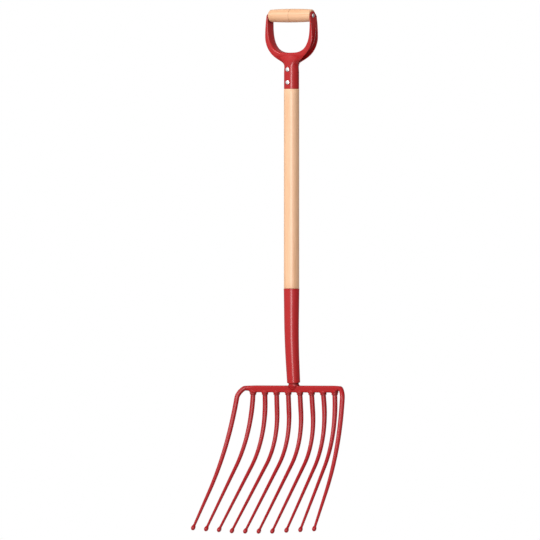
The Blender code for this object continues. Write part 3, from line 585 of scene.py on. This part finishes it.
def yokeRows():                                # the right front quarter, from web to free edge
    inner = evenly(innerEdge(), yokeGrid["arm"])
    last = len(inner) - 1
    armLength = sum(math.dist(a, b) for a, b in zip(inner, inner[1:]))
    armShare = armLength / (armLength + yoke["socketDrop"] - yoke["room"])
    drops = spread(yoke["earToFlange"], yoke["socketDrop"], yokeGrid["outline"])
    outer = evenly([(outerHalf(drop), drop) for drop in drops], yokeGrid["outline"])

    def outerEdge(share):
        return outer[round(share * (yokeGrid["outline"] - 1))]

    rows = earRows()
    for i, place in enumerate(inner):
        a, b = inner[max(i - 1, 0)], inner[min(i + 1, last)]
        tangent = Vector((b[0] - a[0], b[1] - a[1])).normalized()
        if i in (0, last):
            tangent = Vector((0, 1)) if i == 0 else Vector((-1, 0))
        bend = yoke["bend"] + yoke["bendGrowth"] * smoothStep(2 * i / last)
        rows.append(armRow(place, tangent, outerEdge(armShare * i / last), bend))
    fan = []
    top = yoke["room"] + yoke["bend"] + yoke["bendGrowth"]
    for share in spread(0.0, 1.0, yokeGrid["fan"] + 1)[1:]:
        centre = top + (yoke["socketDrop"] - top) * share
        edge = outerEdge(armShare + (1 - armShare) * share)
        fan.append(fanRow(centre, edge, smoothStep(share ** yoke["rounding"])))
    for share in spread(0.0, 1.0, yokeGrid["socket"] + 1)[1:]:
        drop = yoke["socketDrop"] + yoke["socketLength"] * share
        fan.append(fanRow(drop, (yoke["socket"] / 2, drop), 1.0))
    return rows, fan


def softenShoulder(work):                      # softens the crease where the plate becomes the socket
    low = grip["axisZ"] - yoke["socketDrop"]
    for turn in spread(1.0, yoke["blendEnd"], yoke["blendPasses"]):    # ever closer in
        reach = yoke["blendReach"] * turn
        near = [vert for vert in work.verts if -reach * yoke["blendLow"] < vert.co.z - low < reach]
        inside = [vert for vert in near if not vert.is_boundary]
        rim = [(vert, [edge.other_vert(vert).co for edge in vert.link_edges if edge.is_boundary])
               for vert in near if vert.is_boundary]
        for vert, place in [(vert, vert.co / 2 + (ends[0] + ends[1]) / 4) for vert, ends in rim]:
            vert.co = place                    # an edge is softened along its own line
        bmesh.ops.smooth_vert(work, verts=inside, factor=0.5, use_axis_x=True, use_axis_y=True,
                              use_axis_z=True)


def addYoke():
    rows, fan = yokeRows()
    work = extruded(rows, closed=False)
    join(work, extruded([rows[-1][1 + yokeGrid["bend"]:]] + fan, closed=False))
    for axis in ("X", "Y"):
        bmesh.ops.mirror(work, geom=work.verts[:] + work.edges[:] + work.faces[:], axis=axis, merge_dist=1e-5)
    bmesh.ops.remove_doubles(work, verts=work.verts, dist=1e-5)
    softenShoulder(work)
    addPiece("pressedYoke", work, redPaint, "yoke", wall=yoke["sheet"])


def addYokeRivets():
    low = grip["axisZ"] - yoke["socketDrop"] - yoke["socketLength"] + yokeRivet["first"]
    for name, height in (("yoke_rivet_lower", low), ("yoke_rivet_upper", low + yokeRivet["spacing"])):
        work = headedPin(yokeRivet, lying((0, 1, 0), (0, 0, height)))
        addPiece(name + "Heads", work, brightSteel, name)


addYoke()
addYokeRivets()
print("yoke made")


# Shaft, socket tube and its screw
shaft = {"diameter": 0.036, "top": -0.1564, "bottom": -0.6261, "chamfer": 0.002, "edge": 0.0006,
         "edgeMiddle": 0.3, "topTenon": 0.0308, "topLength": 0.0569, "lowRoot": 0.0322, "lowTip": 0.0303,
         "lowLength": 0.0697, "bodySteps": 24, "steps": 96}
tube = {"mouth": 0.0368, "end": 0.0309, "wall": 0.002, "straight": 0.07, "radius": 1.15, "tail": 0.0453,
        "lean": 5.3, "mouthZ": -0.6264, "endRound": 0.0012, "endDepth": 0.00096, "endSteps": 7,
        "bodyStart": 0.006, "bodyEnd": 0.004, "bodySteps": 44, "steps": 72,
        "lip": ((0.0, 0.00016), (0.0004, 0.0004), (0.0012, 0.00032), (0.0028, 0.0))}   # along, and out
screw = {"drop": 0.028, "gap": 0.0003, "diameter": 0.004, "length": 0.024, "head": 0.0084, "height": 0.002,
         "edge": 0.0003, "under": 0.97, "slot": 0.0011, "slotDepth": 0.0009, "slotTurn": 24, "domeSteps": 10,
         "steps": 48}


def addShaft():
    body, tenon, tip = shaft["diameter"] / 2, shaft["topTenon"] / 2, shaft["lowTip"] / 2
    edge, chamfer = shaft["edge"], shaft["chamfer"]
    soft = edge * shaft["edgeMiddle"]
    top, bottom = shaft["top"], shaft["bottom"]
    highest, lowest = top + shaft["topLength"], bottom - shaft["lowLength"]
    outline = [(0.0, highest), (tenon - chamfer, highest), (tenon, highest - chamfer), (tenon, top),
               (body - edge, top), (body - soft, top - soft), (body, top - edge)]
    outline += [(body, height) for height in spread(top - edge, bottom + edge, shaft["bodySteps"])[1:]]
    outline += [(body - soft, bottom + soft), (body - edge, bottom), (shaft["lowRoot"] / 2, bottom),
                (tip, lowest + chamfer), (tip - chamfer, lowest), (0.0, lowest)]
    work = spun(outline, shaft["steps"], Matrix.Identity(4))
    addPiece("turnedShaft", work, shaftWood, "shaft")


def tubeRoute():
    lean = math.radians(tube["lean"])
    points = [(0, 0, tube["mouthZ"] - drop) for drop in spread(0.0, tube["straight"], routeSteps["straight"])]
    knee = tube["mouthZ"] - tube["straight"]
    points += [(0, tube["radius"] * (1 - math.cos(turn)), knee - tube["radius"] * math.sin(turn))
               for turn in spread(0.0, lean, routeSteps["bend"])[1:]]
    _, y, z = points[-1]
    points += [(0, y + along * math.sin(lean), z - along * math.cos(lean))
               for along in spread(0.0, tube["tail"], routeSteps["straight"])[1:]]
    return Route(points, (1, 0, 0))


def tubeRadius(share):
    return (tube["mouth"] + (tube["end"] - tube["mouth"]) * share) / 2


def addTube():
    route = tubeRoute()
    length = route.length
    outer = list(tube["lip"])
    outer += [(distance, 0.0)
              for distance in spread(tube["bodyStart"], length - tube["bodyEnd"], tube["bodySteps"])]
    outer += [(length - tube["endRound"] * (1 - math.sin(turn)), -tube["endDepth"] * (1 - math.cos(turn)))
              for turn in spread(0.0, math.pi / 2, tube["endSteps"])]
    rows = [route.ring(distance, tubeRadius(distance / length) + out, tube["steps"])
            for distance, out in outer]
    rows += [route.ring(distance, tubeRadius(distance / length) - tube["wall"], tube["steps"])
             for distance in spread(length, 0.0, routeSteps["straight"])]
    work = extruded(rows + rows[:1], closed=True)
    bmesh.ops.remove_doubles(work, verts=work.verts, dist=1e-7)
    addPiece("socketTube", work, redPaint, "socket", sharp=50)


def addScrew():
    shank, head = screw["diameter"] / 2, screw["head"] / 2
    height = tube["mouthZ"] - screw["drop"]
    seat = tubeRadius(screw["drop"] / tubeRoute().length) + screw["gap"]
    tip, rim, top = seat - screw["length"], seat + screw["edge"], seat + screw["height"]
    outline = [(0.0, tip), (shank, tip + screw["diameter"]), (shank, seat), (head * screw["under"], seat),
               (head, rim)]
    outline += [(head * math.cos(turn), rim + (top - rim) * math.sin(turn))
                for turn in spread(0.0, math.pi / 2, screw["domeSteps"])[1:-1]]
    outline.append((0.0, top))
    work = spun(outline, screw["steps"], lying((0, 1, 0), (0, 0, height)))
    piece = addPiece("tubeScrew", work, brightSteel, "socket_screw")
    cutter = bmesh.new()
    bmesh.ops.create_cube(cutter, size=1.0)
    bmesh.ops.scale(cutter, vec=(screw["head"] * 2, screw["slotDepth"] * 2, screw["slot"]),
                    verts=cutter.verts)
    bmesh.ops.rotate(cutter, cent=(0, 0, 0), matrix=Matrix.Rotation(math.radians(screw["slotTurn"]), 3, "Y"),
                     verts=cutter.verts)
    bmesh.ops.translate(cutter, vec=(0, top, height), verts=cutter.verts)
    cutPiece(piece, cutter)


addShaft()
addTube()
addScrew()
print("shaft and socket made")


# Crossbar and tines
bar = {"middle": (0, 0.010468, -0.862469), "up": (0, -0.092371, 0.995725), "height": 0.0158,
       "straight": 0.105, "endRadius": 0.066, "endTurn": 24, "stub": 0.0118, "boss": 0.0059, "voxel": 0.0006,
       "softenFactor": 0.5, "softenSteps": 8}
collar = {"diameter": 0.0158, "width": 0.0029, "half": 0.0016, "steps": 17, "sides": 40}
tine = {"diameter": 0.0117, "neck": 0.0058, "full": 0.041, "ball": 0.0102, "nose": 0.0062, "tail": 0.009,
        "ballBlend": 0.0012, "ballSteps": 27, "spigot": 0.007, "spigotLength": 0.0107, "chamfer": 0.0005,
        "gap": 0.0003, "closing": 0.95, "edge": 0.0003, "edgeMiddle": 0.3, "bodyStart": 0.002,
        "pitch": 0.03235, "fan": 2.08, "forward": 0.0147, "cornerEnd": 0.0185, "cornerLead": 0.001,
        "cornerReach": 0.0042, "cornerDrop": 0.0105, "sides": 20, "step": 0.004}
# from the middle outwards: lean at the bar, straight length, bend radius, rake, drop of the tip, thinning
tineBends = [(-4.75, 0.0548, 0.161, 43.2, 0.3372, 0.75), (-4.75, 0.0548, 0.161, 43.2, 0.3368, 0.75),
             (-4.85, 0.031, 0.202, 41.95, 0.3345, 0.75), (-2.0, 0.0024, 0.272, 38.95, 0.3330, 0.8),
             (12.9, 0.0326, 0.583, 35.6, 0.3310, 1.4)]
tineCount = 2 * len(tineBends)


def barRoute():
    middle = Vector(bar["middle"])
    up = Vector(bar["up"])
    back = Vector((0, up.z, -up.y))
    half = [(x, 0.0) for x in spread(0.0, bar["straight"], routeSteps["straight"])]
    half += [(bar["straight"] + bar["endRadius"] * math.sin(turn), -bar["endRadius"] * (1 - math.cos(turn)))
             for turn in spread(0.0, math.radians(bar["endTurn"]), routeSteps["bend"])[1:]]
    line = [(-x, y) for x, y in reversed(half[1:])] + half
    return Route([middle + Vector((x, 0, 0)) + back * y for x, y in line], back)


def barDistance(path, x):                      # along the bar from its middle to an x
    half = len(path.points) // 2
    for i in range(half, len(path.points) - 1):
        a, b = path.points[i], path.points[i + 1]
        if b.x >= x:
            share = (x - a.x) / (b.x - a.x)
            return path.marks[i] - path.marks[half] + (path.marks[i + 1] - path.marks[i]) * share
    return path.length / 2


def tineLine(pitches, bend, start):            # straight, bent, and straight to the tip
    lean, lead, radius, rake, reach = math.radians(bend[0]), bend[1], bend[2], math.radians(bend[3]), bend[4]
    line = [(drop, drop * math.tan(lean)) for drop in spread(0.0, lead, routeSteps["straight"])]
    line += [(lead + radius * (math.sin(turn) - math.sin(lean)),
              lead * math.tan(lean) + radius * (math.cos(lean) - math.cos(turn)))
             for turn in spread(lean, rake, routeSteps["bend"])[1:]]
    kneeDrop, kneeForward = line[-1]
    line += [(drop, kneeForward + (drop - kneeDrop) * math.tan(rake))
             for drop in spread(kneeDrop, reach, routeSteps["straight"])[1:]]
    return [Vector((pitches * tine["pitch"] * (1 + drop / tine["fan"]), start.y - forward, start.z - drop))
            for drop, forward in line]


def innerTine(pitches, bend):                  # route and how far along it the body starts
    path = barRoute()
    distance = path.length / 2 + math.copysign(1, pitches) * barDistance(path, abs(pitches) * tine["pitch"])
    route = Route(tineLine(pitches, bend, path.frame(distance)[0]), (1, 0, 0))
    seat = (bar["height"] / 2 + bar["boss"]) / math.cos(math.radians(bend[0] + tube["lean"]))
    return route, seat + tine["gap"]


def outerTine(pitches, bend):                  # the same for one that turns down out of the bar's end
    path = barRoute()
    middle = Vector(bar["middle"])
    place, _, _, heading = path.frame(0.0 if pitches < 0 else path.length)
    heading = -heading if pitches < 0 else heading
    seat = place + Vector(bar["up"]) * (bar["height"] - bar["stub"]) / 2
    line = [point for point in tineLine(pitches, bend, middle - Vector((0, tine["forward"], 0)))
            if middle.z - point.z >= tine["cornerEnd"]]
    down = (line[1] - line[0]).normalized()
    start = seat + heading * tine["cornerLead"]
    first = start + heading * tine["cornerReach"]
    second = line[0] - down * tine["cornerDrop"]
    lead = [seat + heading * along
            for along in (-tine["spigotLength"] - tine["gap"], 0.0, tine["cornerLead"] / 2)]
    corner = []
    for t in spread(0.0, 1.0, routeSteps["bend"]):
        s = 1 - t
        corner.append(start * s ** 3 + first * 3 * t * s * s + second * 3 * t * t * s + line[0] * t ** 3)
    return Route(lead + corner + line[1:], (0, 0, 1)), tine["spigotLength"] + 2 * tine["gap"]


def tineSetting(i):                            # route, start and thinning of one of the ten
    last = tineCount - 1
    bend = tineBends[len(tineBends) - 1 - min(i, last - i)]
    makeRoute = outerTine if i in (0, last) else innerTine
    return *makeRoute(i - last / 2, bend), bend[5]


def tineProfile(route, start, thinning):       # distance and radius, spigot to tip
    full = start + tine["full"]
    widest = route.length - tine["nose"]
    spigot, chamfer, edge = tine["spigot"] / 2, tine["chamfer"], tine["edge"]
    low = start - tine["spigotLength"]
    top = start - tine["gap"] * tine["closing"]    # the body closes up to its seat

    def rod(distance):
        share = max(0.0, distance - full) / (route.length - full)
        return (tine["diameter"] - (tine["diameter"] - tine["neck"]) * share ** thinning) / 2

    soft = edge * tine["edgeMiddle"]
    profile = [(low, spigot - chamfer), (low + chamfer, spigot), (top, spigot), (top, rod(start) - edge),
               (top + soft, rod(start) - soft), (top + edge, rod(start))]
    count = math.ceil((widest - tine["tail"] - start) / tine["step"])
    profile += [(distance, rod(distance))
                for distance in spread(start + tine["bodyStart"], widest - tine["tail"], count)]
    for turn in spread(-math.pi / 2, math.pi / 2, tine["ballSteps"])[1:-1]:
        past = (tine["nose"] if turn > 0 else tine["tail"]) * math.sin(turn)
        ball = tine["ball"] / 2 * math.cos(turn)
        if past <= 0:
            ball = softLarger(ball, rod(widest + past), tine["ballBlend"])
        profile.append((widest + past, ball))
    return profile


def addTines():
    for i in range(tineCount):
        route, start, thinning = tineSetting(i)
        rows = [route.ring(distance, radius, tine["sides"])
                for distance, radius in tineProfile(route, start, thinning)]
        work = extruded(rows, closed=True)
        bmesh.ops.holes_fill(work, edges=[edge for edge in work.edges if edge.is_boundary], sides=0)
        addPiece(f"roundTine{i + 1:02d}", work, tinePaint, f"tine_{i + 1:02d}")


def bossCollar(i):                             # a round bead at the lower end of a boss
    route, start, _ = tineSetting(i)
    middle = start - tine["gap"] - collar["half"]
    rows = []
    for turn in spread(0.0, math.tau, collar["steps"]):
        radius = collar["diameter"] / 2 - collar["width"] * (1 - math.cos(turn)) / 2
        rows.append(route.ring(middle + collar["half"] * math.sin(turn), radius, collar["sides"]))
    work = extruded(rows, closed=True)
    bmesh.ops.remove_doubles(work, verts=work.verts, dist=1e-6)
    bmesh.ops.recalc_face_normals(work, faces=work.faces)
    return work


def addCrossbar():                             # the forging is the solid with softened edges and joints
    work = bmesh.new()
    work.from_mesh(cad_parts["crossbar"].data)
    for i in range(1, tineCount - 1):
        join(work, bossCollar(i))
    bmesh.ops.remove_doubles(work, verts=work.verts, dist=1e-6)
    piece = addPiece("forgedCrossbar", work, forgedPaint, "crossbar")
    remesh = piece.modifiers.new("even", "REMESH")
    remesh.mode = "VOXEL"
    remesh.voxel_size = bar["voxel"]
    remesh.use_smooth_shade = True
    soften = piece.modifiers.new("soften", "SMOOTH")
    soften.factor = bar["softenFactor"]
    soften.iterations = bar["softenSteps"]
    applyModifiers(piece)
    piece.data.shade_smooth()
    print("crossbar faces:", len(piece.data.polygons))


addTines()
addCrossbar()
print("head made")


# Floor, lamps and world
paper = {"drop": 0.05, "size": 3.0, "grid": 8, "colour": (0.86, 0.86, 0.86), "dull": (0.84, 0.84, 0.84),
         "speck": 40.0, "roughness": 0.9, "bounce": (0.55, 0.55, 0.55)}
strip = {"azimuth": -4, "elevation": 3, "distance": 3.2, "aimZ": -0.6, "width": 1.0, "height": 2.4,
         "energy": 82.0}
sun = {"azimuth": -50, "elevation": 36, "angle": 22, "energy": 1.25}
walls = {"turn": 40, "soft": 0.22, "bright": 1.1, "dim": 0.5, "low": (-0.7, 0.1), "bottom": 0.18,
         "high": (0.5, 0.95), "top": 0.62, "beside": (-0.5, 0.3), "side": 0.5, "rear": (0.3, 0.9),
         "behind": 0.2, "mirrored": 0.2}


def addFloor():
    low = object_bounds()[0]
    work = bmesh.new()
    bmesh.ops.create_grid(work, x_segments=paper["grid"], y_segments=paper["grid"], size=paper["size"] / 2)
    bmesh.ops.translate(work, vec=(0, 0, low.z - paper["drop"]), verts=work.verts)
    mesh = meshOf(work, "studioFloor")
    floor = linked("studioFloor", mesh)
    ground = Finish("floorPaper", paper["roughness"])
    speck = ground.noise(ground.place((1, 1, 1)), paper["speck"])
    colour = ground.blend(speck, paper["dull"], paper["colour"])
    bounced = ground.node("ShaderNodeLightPath", {}, {}, "Is Diffuse Ray")    # it throws little light back up
    ground.set("Base Color", ground.blend(bounced, colour, paper["bounce"]))
    mesh.materials.append(ground.material)


def addStrip():                                # it gives the gloss its line and adds no other light
    out = outward(strip["azimuth"], strip["elevation"])
    data = bpy.data.lights.new("frontStrip", "AREA")
    data.shape = "RECTANGLE"
    data.size = strip["width"]
    data.size_y = strip["height"]
    data.energy = strip["energy"]
    lamp = linked("frontStrip", data)
    lamp.location = Vector((0, 0, strip["aimZ"])) + out * strip["distance"]
    face(lamp, out)
    lamp.visible_diffuse = False


def addSun():                                  # a soft light from the upper left
    data = bpy.data.lights.new("upperLeft", "SUN")
    data.energy = sun["energy"]
    data.angle = math.radians(sun["angle"])
    face(linked("upperLeft", data), outward(sun["azimuth"], sun["elevation"]))


def makeWorld():                               # a white room, brighter on the camera's left than on its right
    world = bpy.data.worlds.new("whiteRoom")
    room = Nodes(world)
    back = room.tree.nodes["Background"]
    spot = room.node("ShaderNodeTexCoord", {}, {}, "Generated")
    height = room.node("ShaderNodeSeparateXYZ", {}, {0: spot}, "Z")

    def towards(azimuth):                      # 1 that way and -1 the other way
        return room.node("ShaderNodeVectorMath", {"operation": "DOT_PRODUCT"}, {0: spot, 1: outward(azimuth)},
                         "Value")

    leftward, behind = towards(walls["turn"] - 90), towards(180)
    wall = room.span(leftward, -walls["soft"], walls["soft"], walls["dim"], walls["bright"])
    wall = wall * room.span(height, *walls["low"], walls["bottom"], 1.0)
    wall = wall * room.span(height, *walls["high"], 1.0, walls["top"])
    wall = wall * room.span(behind, *walls["beside"], 1.0, walls["side"])
    wall = wall.maths("MAXIMUM", wall, room.span(behind, *walls["rear"], 0.0, walls["behind"]))
    seen = room.node("ShaderNodeLightPath", {}, {}, "Is Camera Ray")
    mirrored = (room.node("ShaderNodeLightPath", {}, {}, "Is Glossy Ray")
                + room.node("ShaderNodeLightPath", {}, {}, "Is Transmission Ray")) * walls["mirrored"]
    room.feed(back.inputs["Color"], (1, 1, 1))
    room.feed(back.inputs["Strength"], wall.maths("MAXIMUM", wall, seen + mirrored))
    bpy.context.scene.world = world


addCamera()
addFloor()
addStrip()
addSun()
makeWorld()
bpy.context.scene.view_settings.view_transform = "Standard"
print("studio made")
